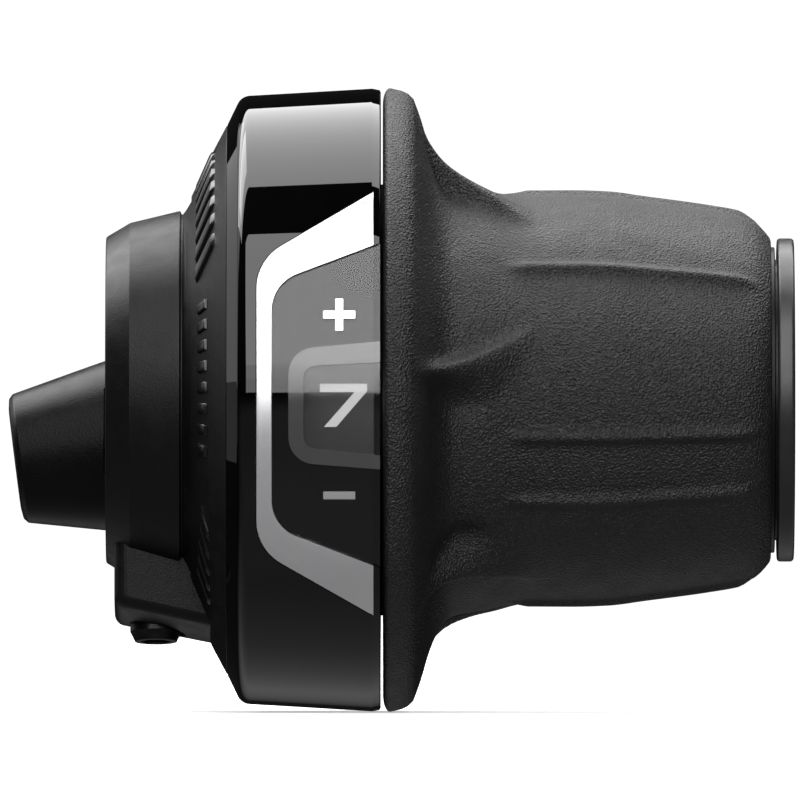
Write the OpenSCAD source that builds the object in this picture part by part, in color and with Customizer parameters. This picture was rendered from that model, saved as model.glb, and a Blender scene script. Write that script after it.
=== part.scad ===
// Right-hand seven-speed twist-grip gear shifter for a straight bicycle handlebar.
// +X runs outboard along the handlebar, the gear window faces -Y, and +Z is up.
// The origin lies on the handlebar's axis, level with the clamp screw.
// Angles round the bar are in degrees from the window (-Y), rising towards +Z.

/* [Handlebar] */
// Outer diameter of the handlebar
bar_d = 22.2; // [22.1:0.1:22.3]
// Radial play between the handlebar and the bores
bar_play = 0.05; // [0.02:0.01:0.1]

/* [Clamp ring] */
// Free end of the ring
ring_x0 = -4.55; // [-5:0.05:-4.2]
// End of the dark chamfer of the ring
ring_xm = -2.36; // [-2.8:0.02:-2]
// Neck, where the ring meets the housing
ring_x1 = 2.2; // [2:0.1:2.3]
// Radius at the free end
ring_r0 = 14.8; // [14.5:0.1:15.2]
// Radius at the end of the chamfer
ring_rm = 16.1; // [15.8:0.1:16.3]
// Radius at the neck
ring_r1 = 17.2; // [17:0.1:17.3]

/* [Clamp screw] */
// Place of the screw round the bar
screw_angle = -81.5; // [-86:0.5:-78]
// Thread diameter
screw_d = 4; // [3.5:0.5:4]
// Width of the boss, front to back
boss_w = 18; // [16:0.5:19]
// Radius of the underside of the boss at the screw
boss_r = 21.1; // [20.8:0.1:21.4]
// Width of the square nut across its flats
nut_w = 7; // [6:0.5:7]
// Thickness of the square nut
nut_t = 3.2; // [2.4:0.2:3.2]

/* [Housing] */
// End of the conical flank, where the glossy cover starts
flank_x = 7.44; // [7.36:0.02:7.44]
// Radius at the end of the flank
flank_r = 27.1; // [26.9:0.1:27.2]
// Thickness of the flank
wall = 1.8; // [1.4:0.1:2]

/* [Cover] */
// Left end of the glossy cover
cover_x0 = 7.6; // [7.55:0.05:7.8]
// Right end of the glossy cover
cover_x1 = 20.3; // [20.1:0.1:20.3]
// Outer radius at the left end
cover_r0 = 27.6; // [27.5:0.02:27.8]
// Outer radius at the right end
cover_r1 = 28.4; // [28.2:0.02:28.5]
// Width of the end chamfer
cover_bevel = 0.8; // [0.5:0.1:0.9]

/* [Gear window] */
// Left edge of the bright trim
trim_x0 = 9.05; // [8.9:0.05:9.3]
// Left edge of the clear lens
lens_x0 = 10.5; // [10.3:0.05:10.8]
// Right edge of the window
window_x1 = 19.75; // [19.5:0.05:19.8]
// Height of the middle of the window
window_z = -0.45; // [-1:0.05:0]
// Length of the arms of the plus and minus marks
mark_l = 3; // [2.4:0.1:3.2]
// Thickness of the strokes of the marks
mark_t = 0.74; // [0.5:0.02:0.9]
// Height of the plus and minus marks from the middle
mark_z = 8.15; // [7.8:0.05:8.4]

/* [Gears] */
// Number of gears
gears = 7; // [6:1:7]
// Angle from one gear to the next
click_angle = 15; // [14:0.5:15]
// Radius on which the cable winds
wind_r = 17.2; // [17:0.1:17.3]
// Height of a numeral
digit_h = 3.9; // [3.5:0.1:4.1]
// Width of a numeral
digit_w = 4.26; // [3.6:0.1:4.3]

/* [Grip] */
// Left face of the rubber flange
grip_x0 = 20.6; // [20.6:0.1:20.8]
// Right end of the rubber
grip_x1 = 55.85; // [55:0.05:56]
// Largest radius of the rubber flange
flange_r = 28.36; // [28:0.02:28.5]
// Largest radius of the body of the grip
body_r = 18.5; // [18.2:0.1:18.8]
// Height of the lengthwise ribs
rib_h = 0.4; // [0.2:0.05:0.6]
// Radial play between the grip core and the sleeve
turn_play = 0.05; // [0.02:0.01:0.08]
// Outer radius of the end washer
washer_r = 14.7; // [14.4:0.1:15]
// Thickness of the end washer
washer_t = 1.55; // [1.3:0.05:1.8]

/* [Cable outlet] */
// Radius of the end face of the outlet barrel
nose_r = 5.85; // [5.5:0.05:6]
// Length of the outlet barrel along its axis
nose_l = 21; // [20:0.5:22]
// Half angle of the barrel's taper
nose_taper = 12.5; // [11:0.5:13]
// Downward tilt of the barrel
nose_tilt = 7.1; // [6:0.1:8]
// Radius of the seat for the ferrule of the outer casing
ferrule_r = 2.55; // [2.1:0.05:2.6]
// Depth of the ferrule seat
ferrule_l = 8; // [6:0.5:9]

/* [Hidden] */
$fn = 96;
eps = 0.01;

bore_r = bar_d / 2 + bar_play;
sleeve_r = 12.75;
core_in_r = sleeve_r + turn_play;
core_r = 15;
seat_x = 2.4;
web_x = 4.8;
cavity_r = flank_r - 2.4;
seam = 0.1;
tongue_x = 9;
tongue_r = 26;
cover_in_r = 26.3;
sleeve_x1 = grip_x1 + 2.1;
core_x0 = 6;
core_x1 = grip_x1 + 0.35;

// Points [radius, x] of the outer surface of the ring, and of the flank from neck to cover
ring = [[ring_r0, ring_x0], [ring_rm, ring_xm], [ring_r1, ring_x1]];
flank = [[17.45, 2.75], [22.9, 5.33], [25, 6.45], [flank_r, flank_x]];

boss_x0 = -3.75;
boss_x1 = 5.6;
boss_edge_r = 1.2;
boss_slope = 0.2;
head_r = 2.35;
head_top = boss_r + 1.1;
head_under = boss_r - 0.5;
shoe_t = 0.85;
shoe_x0 = -3;
shoe_x1 = 2;

spool_x0 = 6.6;
spool_x1 = 12.4;
spool_r = 18.4;
groove_x = 9.5;
groove_w = 1.6;
nipple_angle = 122;

notched_x1 = 15.4;
crest_r = 20;
notch_r = 0.9;
detent_angle = 75;
leaf_r = 22.6;
leaf_t = 0.4;
leaf_x0 = 12.6;
leaf_x1 = 15.2;
post_angle = 38;
post_r = 21.8;
post_x0 = 5.6;

drum_x0 = 10.6;
drum_x1 = 19.8;
drum_r = 25;
drum_wall = 1.2;
digit_x = 17.06;
digit_t = 0.15;
digit_stroke = 0.75;
digit_zero = -1.1;

trim_t = 1.5;
lens_sink = 0.1;
lens_t = 0.95;
frame_t = 0.4;

nose_x = -12.95;
nose_y = 20;
nose_z = -5.4;
guide_r = 1.3;
guide_step = 0.15;
guide_hole_r = 0.8;
guide_bend = 6;

hatch_a0 = 110;
hatch_a1 = 134;
hatch_r0 = 18.4;
hatch_r1 = 22.6;
hatch_head_r = 2.1;
hatch_screw_r = 20.5;
hatch_screw_angle = hatch_a1 + 5.2;
cover_screw_angles = [145, 235];
cover_screw_x = 9.25;
cover_screw_d = 1.4;
cover_head_r = 1;
cover_head_under = 26.6;
small_screw_d = 1.6;
hole_play = 0.1;

// Middle angles of the grip's sectors with two ribs; those with one lie between them
pair_angles = [-20, 100, 220];
pair_half = 9.5;
fin_half = 32;
fin_twist = 26;
fin_w = 2;

// ---- helpers ----

// Outer radius of the glossy cover at x
function cover_r(x) = cover_r0 + (cover_r1 - cover_r0) * (x - cover_x0) / (cover_x1 - cover_x0);

// Outer radius of the flank's cone at x, and the place of a given radius on it
flank_slope = (flank[1][0] - flank[0][0]) / (flank[1][1] - flank[0][1]);
function flank_at(r) = flank[0][1] + (r - flank[0][0]) / flank_slope;

// Points of an arc of radius r that rounds the corner b between a and c
function unit(v) = v / norm(v);
function fillet(a, b, c, r, n = 6) =
    let (u = unit(a - b), v = unit(c - b), half = acos(u * v) / 2)
    let (m = b + unit(u + v) * r / sin(half))
    let (p = b + u * r / tan(half) - m, q = b + v * r / tan(half) - m)
    let (a0 = atan2(p[1], p[0]), turn = atan2(p[0] * q[1] - p[1] * q[0], p * q))
    [for (i = [0 : n]) m + r * [cos(a0 + turn * i / n), sin(a0 + turn * i / n)]];

// Window outline: a straight left side at x0 and two edges that spread towards the right
function window_outline(x0, x1, top, bottom, top_end, bottom_end, r) =
    let (a = [x0, top], b = [x0, bottom], c = [x1, bottom_end], d = [x1, top_end])
    concat([d], fillet(d, a, b, r), fillet(a, b, c, r), [c]);

// Solid of revolution about the handlebar from points [radius, x]
module revolve(points) {
    rotate([0, 90, 0])
        rotate_extrude()
            polygon(points);
}

// The same, over part of a turn, from angle a0 up to a1
module sector(points, a0, a1) {
    rotate([0, 90, 0])
        rotate_extrude(angle = a1 - a0, start = 270 - a1)
            polygon(points);
}

module tube(x0, x1, r_in, r_out) {
    revolve([[r_in, x0], [r_out, x0], [r_out, x1], [r_in, x1]]);
}

// Places its children, drawn at -Y, at an angle round the bar
module turn_to(angle) {
    rotate([-angle, 0, 0])
        children();
}

// Places its children, drawn upright, on the flank's surface at radius r
module on_flank(angle, r) {
    turn_to(angle)
        translate([flank_at(r), -r, 0])
            rotate([0, 0, atan2(1, flank_slope)])
                rotate([0, -90, 0])
                    children();
}

// Cylinder along the radius that points to the window, from radius r0 to r1
module radial_pin(r0, r1, d0, d1) {
    translate([0, -r0, 0])
        rotate([90, 0, 0])
            cylinder(h = r1 - r0, d1 = d0, d2 = d1);
}

// Prism that faces the window, from an outline of [x, z] points
module window_prism(points) {
    translate([0, -15, 0])
        rotate([90, 0, 0])
            linear_extrude(20)
                polygon(points);
}

// Layer of the cover's wall, from depth d1 below the outer surface up to depth d0
module cover_layer(d0, d1) {
    a = trim_x0 - 0.5;
    b = window_x1;
    revolve([
        [cover_r(a) - d1, a],
        [cover_r(a) - d0, a],
        [cover_r(b) - d0, b],
        [cover_r(b) - d1, b]
    ]);
}

// ---- clamp and housing ----

// Turned outline of the ring, the neck and the flank
module housing_shell() {
    revolve(concat([[bore_r, ring_x0]], ring, [[ring_r1 - 0.45, ring_x1 + 0.15]], flank, [
        [flank_r, cover_x0 - seam],
        [tongue_r, cover_x0 - seam],
        [tongue_r, tongue_x],
        [cavity_r, tongue_x],
        [cavity_r, flank_x + 0.8],
        [flank[1][0] - wall * 0.5, flank[1][1] + wall * 0.8],
        [flank[1][0] - wall * 1.6, web_x],
        [sleeve_r, web_x],
        [sleeve_r, seat_x],
        [bore_r, seat_x]
    ]));
}

// Boss under the ring that holds the clamp screw and its nut
module screw_boss() {
    inner_r = sleeve_r + 1;
    intersection() {
        translate([0, 0, -25])
            linear_extrude(15)
                union() {
                    translate([boss_x0 + boss_edge_r, -boss_w / 2])
                        square([boss_x1 - boss_x0 - boss_edge_r, boss_w]);
                    translate([boss_x0, -boss_w / 2 + boss_edge_r])
                        square([3, boss_w - 2 * boss_edge_r]);
                    for (side = [-1, 1])
                        translate([boss_x0 + boss_edge_r, side * (boss_w / 2 - boss_edge_r)])
                            circle(r = boss_edge_r, $fn = 48);
                }
        revolve([
            [inner_r, boss_x0 - 0.1],
            [boss_r - 1.3, boss_x0 - 0.1],
            [boss_r - 0.6, boss_x0 + 0.75],
            [boss_r + boss_slope * 5.2, 5.2],
            [20.6, web_x - 0.3],
            [inner_r, web_x - 0.3]
        ]);
    }
}

module clamp_housing() {
    color("#1d1d1f")
        difference() {
            union() {
                housing_shell();
                screw_boss();
                for (a = cover_screw_angles)
                    sector(
                        [[22.6, 6.8], [25.4, 7.4], [tongue_r, 7.85], [tongue_r, 10.2], [22.6, 10.2]],
                        a - 5, a + 5
                    );
                turn_to(post_angle)
                    translate([post_x0, -post_r, 0])
                        rotate([0, 90, 0])
                            cylinder(h = leaf_x0 - post_x0, r = 1.4);
                on_flank(hatch_screw_angle, hatch_screw_r)
                    translate([0, 0, -2.6])
                        cylinder(h = 2.1, r = 1.5);
            }
            // Shoe, screw, nut slot and spot face
            turn_to(screw_angle) {
                radial_pin(bore_r, boss_r + 3, screw_d + 0.3, screw_d + 0.3);
                radial_pin(head_under - 0.05, boss_r + 3, 2 * head_r + 0.8, 2 * head_r + 0.8);
                translate([-nut_w / 2 - 0.05, -18.75, -12])
                    cube([nut_w + 0.1, nut_t + 0.1, 12 + nut_w / 2]);
            }
            sector(
                [[bore_r - 1, shoe_x0 - 0.1], [bore_r + shoe_t, shoe_x0 - 0.1],
                 [bore_r + shoe_t, shoe_x1 + 0.1], [bore_r - 1, shoe_x1 + 0.1]],
                screw_angle - 19, screw_angle + 19
            );
            // Cable passage, hatch and screw holes
            outlet_axis()
                cylinder(h = 19.5, r = guide_r + 0.4);
            sector(
                [[hatch_r0 - 0.1, 0], [hatch_r1 + 0.1, 0], [hatch_r1 + 0.1, 9], [hatch_r0 - 0.1, 9]],
                hatch_a0 - 0.3, hatch_a1 + 0.3
            );
            for (a = cover_screw_angles)
                turn_to(a)
                    translate([cover_screw_x, 0, 0])
                        radial_pin(23.2, 27, cover_screw_d + hole_play, cover_screw_d + hole_play);
            turn_to(post_angle)
                translate([8, -post_r, 0])
                    rotate([0, 90, 0])
                        cylinder(h = 10, d = small_screw_d + hole_play);
            on_flank(hatch_screw_angle, hatch_screw_r)
                translate([0, 0, -2.2])
                    cylinder(h = 4, d = small_screw_d + hole_play);
        }
}

module clamp_screw() {
    color("#26262a")
        turn_to(screw_angle)
            difference() {
                union() {
                    radial_pin(bore_r + shoe_t, head_under + eps, screw_d, screw_d);
                    radial_pin(head_under, head_top - 0.9, 2 * head_r, 2 * head_r);
                    radial_pin(head_top - 0.9, head_top, 2 * head_r, 3.8);
                }
                translate([0, -(head_top - 1.3), 0])
                    rotate([90, 0, 0])
                        cylinder(h = 3, d = 2.5 / cos(30), $fn = 6);
            }
}

module clamp_nut() {
    color("#8d8f94")
        turn_to(screw_angle)
            difference() {
                translate([-nut_w / 2, -18.7, -nut_w / 2])
                    cube([nut_w, nut_t, nut_w]);
                radial_pin(10, 20, screw_d, screw_d);
            }
}

// Curved steel pad that the screw presses against the bar
module clamp_shoe() {
    color("#9a9ca0")
        sector(
            [[bore_r, shoe_x0], [bore_r + shoe_t, shoe_x0],
             [bore_r + shoe_t, shoe_x1], [bore_r, shoe_x1]],
            screw_angle - 18, screw_angle + 18
        );
}

// ---- cable outlet ----

// Places its children, drawn along +Z from the end face, on the outlet's axis
module outlet_axis() {
    translate([nose_x, nose_y, nose_z])
        rotate([0, 90 - nose_tilt, 0])
            children();
}

module cable_outlet() {
    color("#1b1b1d")
        difference() {
            intersection() {
                outlet_axis()
                    union() {
                        cylinder(h = 0.4, r1 = nose_r - 0.35, r2 = nose_r + 0.02);
                        translate([0, 0, 0.4])
                            cylinder(h = nose_l - 0.4, r1 = nose_r + 0.02,
                                r2 = nose_r + nose_l * tan(nose_taper));
                    }
                tube(nose_x - 5, flank_x - 0.3, 8, 28);
            }
            // Hollows that fit round the ring and over the flank
            revolve(concat([
                [0, nose_x - 5],
                [bore_r + 0.6, nose_x - 5],
                [bore_r + 0.6, ring_x0 - 0.3],
                [ring_r0, ring_x0 - 0.3]
            ], ring, flank, [[flank_r, tongue_x], [0, tongue_x]]));
            outlet_axis()
                translate([0, 0, -1])
                    cylinder(h = ferrule_l + 1, r = ferrule_r);
            outlet_axis()
                cylinder(h = 30, r = guide_r + guide_step);
        }
}

// Quarter bend that leads the cable from the spool's groove into the outlet
module cable_elbow(r) {
    x0 = groove_x - guide_bend;
    z0 = nose_z + (x0 + guide_bend * sin(nose_tilt) - nose_x) * tan(nose_tilt)
        + guide_bend * cos(nose_tilt);
    translate([x0, nose_y, z0])
        rotate([90, 0, 0])
            rotate_extrude(angle = 90 - nose_tilt, start = nose_tilt - 90)
                translate([guide_bend, 0])
                    circle(r = r, $fn = 48);
}

module cable_guide() {
    entry = (groove_x - guide_bend + guide_bend * sin(nose_tilt) - nose_x) / cos(nose_tilt);
    color("#d9d9d2")
        difference() {
            guide_line(guide_r, entry);
            guide_line(guide_hole_r, entry);
        }
}

// Rod of radius r along the guide's bend, and a slightly wider one along its straight part
module guide_line(r, entry) {
    cable_elbow(r);
    outlet_axis()
        translate([0, 0, ferrule_l])
            cylinder(h = entry - ferrule_l + guide_step, r = r + guide_step, $fn = 48);
}

// ---- cover and window ----

module gloss_cover() {
    color("#101012")
        difference() {
            revolve([
                [tongue_r + 0.03, cover_x0],
                [cover_r0 - 0.45, cover_x0],
                [cover_r(cover_x0 + 0.4), cover_x0 + 0.4],
                [cover_r(cover_x1 - cover_bevel), cover_x1 - cover_bevel],
                [cover_r1 - cover_bevel / 2, cover_x1],
                [cover_in_r + 0.6, cover_x1],
                [cover_in_r, cover_x1 - 0.6],
                [cover_in_r, 10.4],
                [tongue_r + 0.03, 10.3]
            ]);
            window_prism(trim_outer);
            for (a = cover_screw_angles)
                turn_to(a)
                    translate([cover_screw_x, 0, 0]) {
                        radial_pin(25, 30, cover_screw_d + 0.3, cover_screw_d + 0.3);
                        radial_pin(cover_head_under, 30, 2 * cover_head_r + 0.16, 2 * cover_head_r + 0.16);
                    }
        }
}

module cover_screws() {
    color("#2a2a2d")
        for (a = cover_screw_angles)
            turn_to(a)
                translate([cover_screw_x, 0, 0])
                    difference() {
                        union() {
                            radial_pin(23.4, cover_head_under + eps, cover_screw_d, cover_screw_d);
                            radial_pin(cover_head_under, 27.5, 2 * cover_head_r, 2 * cover_head_r - 0.2);
                        }
                        translate([-0.7, -28, -0.15])
                            cube([1.4, 1, 0.3]);
                        translate([-0.15, -28, -0.7])
                            cube([0.3, 1, 1.4]);
                    }
}

trim_outer = window_outline(trim_x0, window_x1, window_z + 13.1, window_z - 13.1,
    window_z + 19.3, window_z - 19.1, 4.4);
trim_inner = window_outline(lens_x0, window_x1 + 1, window_z + 10.95, window_z - 11,
    window_z + 14.6, window_z - 14.7, 3.5);

module window_trim() {
    color("#eef0f2")
        intersection() {
            cover_layer(0, trim_t);
            difference() {
                window_prism(trim_outer);
                window_prism(trim_inner);
            }
        }
}

module window_lens() {
    color([0.12, 0.12, 0.13, 0.6])
        intersection() {
            cover_layer(lens_sink, lens_sink + lens_t);
            window_prism(trim_inner);
        }
}

module plus_minus_marks() {
    x = 16.55;
    color("white")
        intersection() {
            cover_layer(0, lens_sink);
            union() {
                window_prism(bar_at(x, window_z + mark_z, mark_l, mark_t));
                window_prism(bar_at(x, window_z + mark_z, mark_t, mark_l));
                window_prism(bar_at(x, window_z - mark_z, mark_l, mark_t));
            }
        }
}

// Corners of a rectangle w wide and h high about a middle point
function bar_at(x, z, w, h) = [
    [x - w / 2, z - h / 2], [x + w / 2, z - h / 2], [x + w / 2, z + h / 2], [x - w / 2, z + h / 2]
];

module digit_frame() {
    outer = window_outline(11.85, window_x1, window_z + 5, window_z - 5.15,
        window_z + 5.7, window_z - 5.75, 2.4);
    inner = window_outline(13.06, window_x1 + 1, window_z + 3.6, window_z - 4,
        window_z + 3.75, window_z - 4.55, 1.2);
    color([0.75, 0.76, 0.78, 0.7])
        intersection() {
            cover_layer(lens_sink + lens_t, lens_sink + lens_t + frame_t);
            difference() {
                window_prism(outer);
                window_prism(inner);
            }
        }
}

// Door in the back of the flank through which the cable's end is reached
module cable_hatch() {
    color("#242427")
        sector([
            [hatch_r0, flank_at(hatch_r0)],
            [hatch_r1, flank_at(hatch_r1)],
            [hatch_r1, flank_at(hatch_r1) + wall],
            [hatch_r0, flank_at(hatch_r0) + wall]
        ], hatch_a0, hatch_a1);
}

module hatch_screw() {
    color("#3a3a3e")
        on_flank(hatch_screw_angle, hatch_screw_r)
            difference() {
                union() {
                    cylinder(h = 0.9, r1 = hatch_head_r, r2 = hatch_head_r - 0.3);
                    translate([0, 0, -2.1])
                        cylinder(h = 2.2, d = small_screw_d);
                }
                translate([-hatch_head_r, -0.25, 0.5])
                    cube([2 * hatch_head_r, 0.5, 1]);
            }
}

// ---- bearing and detent ----

module inner_sleeve() {
    color("#2c2d30")
        tube(seat_x, sleeve_x1 - 0.05, bore_r, sleeve_r);
}

module thrust_washer() {
    color("#e2e0d8")
        tube(web_x, core_x0 - 0.1, sleeve_r, 16);
}

module end_washer() {
    x0 = sleeve_x1 - washer_t;
    bevel = 0.3;
    color("#3f4042")
        revolve([
            [sleeve_r, x0],
            [washer_r - bevel, x0],
            [washer_r, x0 + bevel],
            [washer_r, sleeve_x1 - bevel],
            [washer_r - bevel, sleeve_x1],
            [sleeve_r, sleeve_x1]
        ]);
}

// Leaf spring: a screwed tab, a curved leaf and a round nose that drops into the notches
module detent_spring() {
    tab_x1 = leaf_x0 + leaf_t;
    leaf_in = leaf_r - leaf_t / 2;
    leaf_out = leaf_r + leaf_t / 2;
    tab_end = post_angle + 7;
    color("#b9bcc2")
        difference() {
            union() {
                sector(
                    [[20.5, leaf_x0], [leaf_out, leaf_x0], [leaf_out, tab_x1], [20.5, tab_x1]],
                    post_angle - 4.5, tab_end
                );
                sector(
                    [[leaf_in, leaf_x0], [leaf_out, leaf_x0], [leaf_out, leaf_x1], [leaf_in, leaf_x1]],
                    tab_end - 1.5, detent_angle + 1.5
                );
                turn_to(detent_angle)
                    translate([leaf_x0 + 0.3, -crest_r - 0.15, 0])
                        rotate([0, 90, 0])
                            cylinder(h = leaf_x1 - leaf_x0 - 0.6, r = notch_r - 0.05);
                turn_to(detent_angle)
                    translate([leaf_x0 + 0.4, -leaf_r, -0.3])
                        cube([leaf_x1 - leaf_x0 - 0.8, leaf_r - crest_r - 0.3, 0.6]);
            }
            turn_to(post_angle)
                translate([leaf_x0 - 1, -post_r, 0])
                    rotate([0, 90, 0])
                        cylinder(h = 3, d = small_screw_d + hole_play);
        }
}

module spring_screw() {
    x0 = leaf_x0 + leaf_t;
    color("#77797e")
        turn_to(post_angle)
            translate([0, -post_r, 0])
                rotate([0, 90, 0])
                    difference() {
                        union() {
                            translate([0, 0, 8.2])
                                cylinder(h = x0 - 8.1, d = small_screw_d);
                            translate([0, 0, x0])
                                cylinder(h = 1, r1 = 1.3, r2 = 1.1);
                        }
                        translate([-1.5, -0.2, x0 + 0.5])
                            cube([3, 0.4, 1]);
                    }
}

// ---- turning parts ----

module grip_core() {
    color("#232326")
        revolve([
            [core_in_r, core_x0],
            [core_r, core_x0],
            [core_r, grip_x0 + 0.1],
            [26, grip_x0 + 0.1],
            [26, grip_x0 + 1.4],
            [core_r, grip_x0 + 1.4],
            [core_r, grip_x1 - 1.2],
            [13.9, grip_x1 - 1.2],
            [13.9, core_x1],
            [core_in_r, core_x1]
        ]);
}

// Outline of the rubber, flange to end, without its fins and ribs
rubber_outline = [
    [26, grip_x0],
    [flange_r - 0.26, grip_x0],
    [flange_r, grip_x0 + 0.6],
    [flange_r - 0.36, grip_x0 + 2],
    [27.3, 23.5],
    [25.2, 24.1],
    [22.2, 24.8],
    [20.9, 25.7],
    [20, 27],
    [19.2, 29],
    [18.4, 31.3],
    [body_r, 35],
    [body_r - 0.1, 40],
    [17.7, 47.4],
    [16.7, 53.2],
    [16, 54.6],
    [14.6, grip_x1],
    [13.9, grip_x1],
    [13.9, grip_x1 - 1.2],
    [core_r, grip_x1 - 1.2],
    [core_r, grip_x0 + 1.4],
    [26, grip_x0 + 1.4]
];

// Buttress between the flange and the body, drawn at the window
module fin(side) {
    mid = 28.8;
    translate([mid, 0, 0])
        rotate([0, side * fin_twist, 0])
            translate([-mid, 0, -fin_w / 2])
                linear_extrude(fin_w)
                    polygon([
                        [23.6, -17], [23.6, -26.2], [24.8, -24.2], [26.3, -22.3],
                        [28.6, -21], [31, -20], [34, -18.2], [34, -17]
                    ]);
}

// Lengthwise rib, drawn at the window
module rib() {
    translate([0, 0, -0.45])
        linear_extrude(0.9)
            polygon([
                [32, -17], [32, -18], [34, -body_r - rib_h], [40, -body_r + 0.1 - rib_h],
                [47.4, -17.7 - rib_h], [53, -16.7 - rib_h], [54.2, -15.8], [54.2, -15.2]
            ]);
}

module rubber_grip() {
    color("#303133")
        union() {
            revolve(rubber_outline);
            for (a = pair_angles)
                for (side = [-1, 1]) {
                    turn_to(a + side * fin_half)
                        fin(-side);
                    turn_to(a + side * pair_half)
                        rib();
                }
            for (a = pair_angles)
                turn_to(a + 60)
                    rib();
        }
}

module winder_spool() {
    color("#d7d3c6")
        difference() {
            revolve([
                [core_r, spool_x0],
                [spool_r, spool_x0],
                [spool_r, groove_x - groove_w / 2 - 0.2],
                [wind_r, groove_x - groove_w / 2],
                [wind_r, groove_x + groove_w / 2],
                [spool_r, groove_x + groove_w / 2 + 0.2],
                [spool_r, spool_x1],
                [core_r, spool_x1]
            ]);
            // Pocket for the cable's end barrel, open to the hatch
            turn_to(nipple_angle) {
                translate([groove_x, -wind_r - 0.4, -2.2])
                    cylinder(h = 4.4, r = 2.1);
                translate([spool_x0 - 1, -wind_r - 2.5, -2.2])
                    cube([groove_x - spool_x0 + 1, 4.2, 4.4]);
            }
        }
}

// Notched ring: one notch for each gear
module detent_ring() {
    color("#a8a294")
        difference() {
            tube(spool_x1, notched_x1, core_r, crest_r);
            for (i = [0 : gears - 1])
                turn_to(detent_angle + i * click_angle)
                    translate([spool_x1 - 1, -crest_r - 0.15, 0])
                        rotate([0, 90, 0])
                            cylinder(h = 5, r = notch_r);
        }
}

module indicator_drum() {
    color("#161618")
        revolve([
            [core_r, drum_x1 - 1.2],
            [drum_r - drum_wall, drum_x1 - 1.2],
            [drum_r - drum_wall, drum_x0],
            [drum_r, drum_x0],
            [drum_r, drum_x1],
            [core_r, drum_x1]
        ]);
}

// Strokes of the numerals: three level bars and four upright ones, named by place
function strokes(n) =
    n == 1 ? ["ur", "lr"] :
    n == 2 ? ["t", "ur", "m", "ll", "b"] :
    n == 3 ? ["t", "ur", "m", "lr", "b"] :
    n == 4 ? ["ul", "m", "ur", "lr"] :
    n == 5 ? ["t", "ul", "m", "lr", "b"] :
    ["t", "ul", "m", "ll", "lr", "b"];

module stroke(place) {
    w = digit_w * 0.8;
    s = digit_stroke;
    h = digit_h;
    if (place == "t" || place == "m" || place == "b")
        translate([-w / 2, place == "t" ? h / 2 - s : place == "m" ? -s / 2 : -h / 2])
            square([w, s]);
    else
        translate([
            place == "ul" || place == "ll" ? -w / 2 : w / 2 - s,
            place == "ul" || place == "ur" ? 0 : -h / 2
        ])
            square([s, h / 2]);
}

module numeral(n) {
    if (n == 7) {
        polygon([
            [-digit_w / 2, digit_h / 2],
            [digit_w / 2, digit_h / 2],
            [digit_w / 2, digit_h / 2 - digit_stroke * 0.9],
            [-0.65, -digit_h / 2],
            [-1.76, -digit_h / 2],
            [1, digit_h / 2 - digit_stroke],
            [-digit_w / 2, digit_h / 2 - digit_stroke]
        ]);
    } else {
        for (place = strokes(n))
            stroke(place);
    }
}

module gear_digits() {
    color("white")
        intersection() {
            tube(drum_x0, drum_x1, drum_r, drum_r + digit_t);
            union()
                for (g = [1 : gears])
                    turn_to(digit_zero + (gears - g) * click_angle)
                        translate([digit_x, -20, 0])
                            rotate([90, 0, 0])
                                linear_extrude(8)
                                    numeral(g);
        }
}

clamp_housing();
clamp_screw();
clamp_nut();
clamp_shoe();
cable_outlet();
cable_guide();
gloss_cover();
cover_screws();
window_trim();
window_lens();
plus_minus_marks();
digit_frame();
cable_hatch();
hatch_screw();
inner_sleeve();
thrust_washer();
end_washer();
detent_spring();
spring_screw();
grip_core();
rubber_grip();
winder_spool();
detent_ring();
indicator_drum();
gear_digits();
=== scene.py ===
"""Looks of a right-hand seven-speed twist-grip gear shifter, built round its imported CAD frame.

+X runs outboard along the handlebar, the gear window faces -Y and +Z is up. Sizes below are in
millimetres and become metres in build(). Angles round the bar are in degrees from the window
(-Y), rising towards +Z, as in the part's source.
"""

import math

import bmesh
import bpy
import numpy as np
from mathutils import Matrix, Vector


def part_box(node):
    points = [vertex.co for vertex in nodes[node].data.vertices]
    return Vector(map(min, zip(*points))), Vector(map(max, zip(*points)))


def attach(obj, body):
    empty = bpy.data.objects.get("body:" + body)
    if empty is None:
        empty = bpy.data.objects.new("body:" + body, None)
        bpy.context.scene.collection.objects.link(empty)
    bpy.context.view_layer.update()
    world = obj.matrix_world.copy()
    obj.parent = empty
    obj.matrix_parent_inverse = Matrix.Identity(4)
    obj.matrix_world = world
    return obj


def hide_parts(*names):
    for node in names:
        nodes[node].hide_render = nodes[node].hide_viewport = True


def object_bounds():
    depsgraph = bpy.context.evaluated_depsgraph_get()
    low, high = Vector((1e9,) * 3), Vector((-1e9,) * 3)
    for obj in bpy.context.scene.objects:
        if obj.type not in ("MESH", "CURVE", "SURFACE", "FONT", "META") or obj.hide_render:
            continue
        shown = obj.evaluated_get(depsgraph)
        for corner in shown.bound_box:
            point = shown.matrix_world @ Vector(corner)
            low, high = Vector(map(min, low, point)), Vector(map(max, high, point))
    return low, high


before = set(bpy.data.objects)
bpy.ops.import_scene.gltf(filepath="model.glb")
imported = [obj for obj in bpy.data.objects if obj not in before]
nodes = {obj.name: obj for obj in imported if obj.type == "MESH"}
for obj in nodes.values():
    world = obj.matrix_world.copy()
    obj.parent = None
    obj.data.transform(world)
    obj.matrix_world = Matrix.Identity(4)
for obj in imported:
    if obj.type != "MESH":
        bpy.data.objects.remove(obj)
cad_low, cad_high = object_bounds()

MM = 0.001
HOUSING, GRIP = "housing", "grip"

# ---- places taken from the frame, in millimetres ----


def node_box(name):
    low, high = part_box(name)
    return low / MM, high / MM


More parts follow.
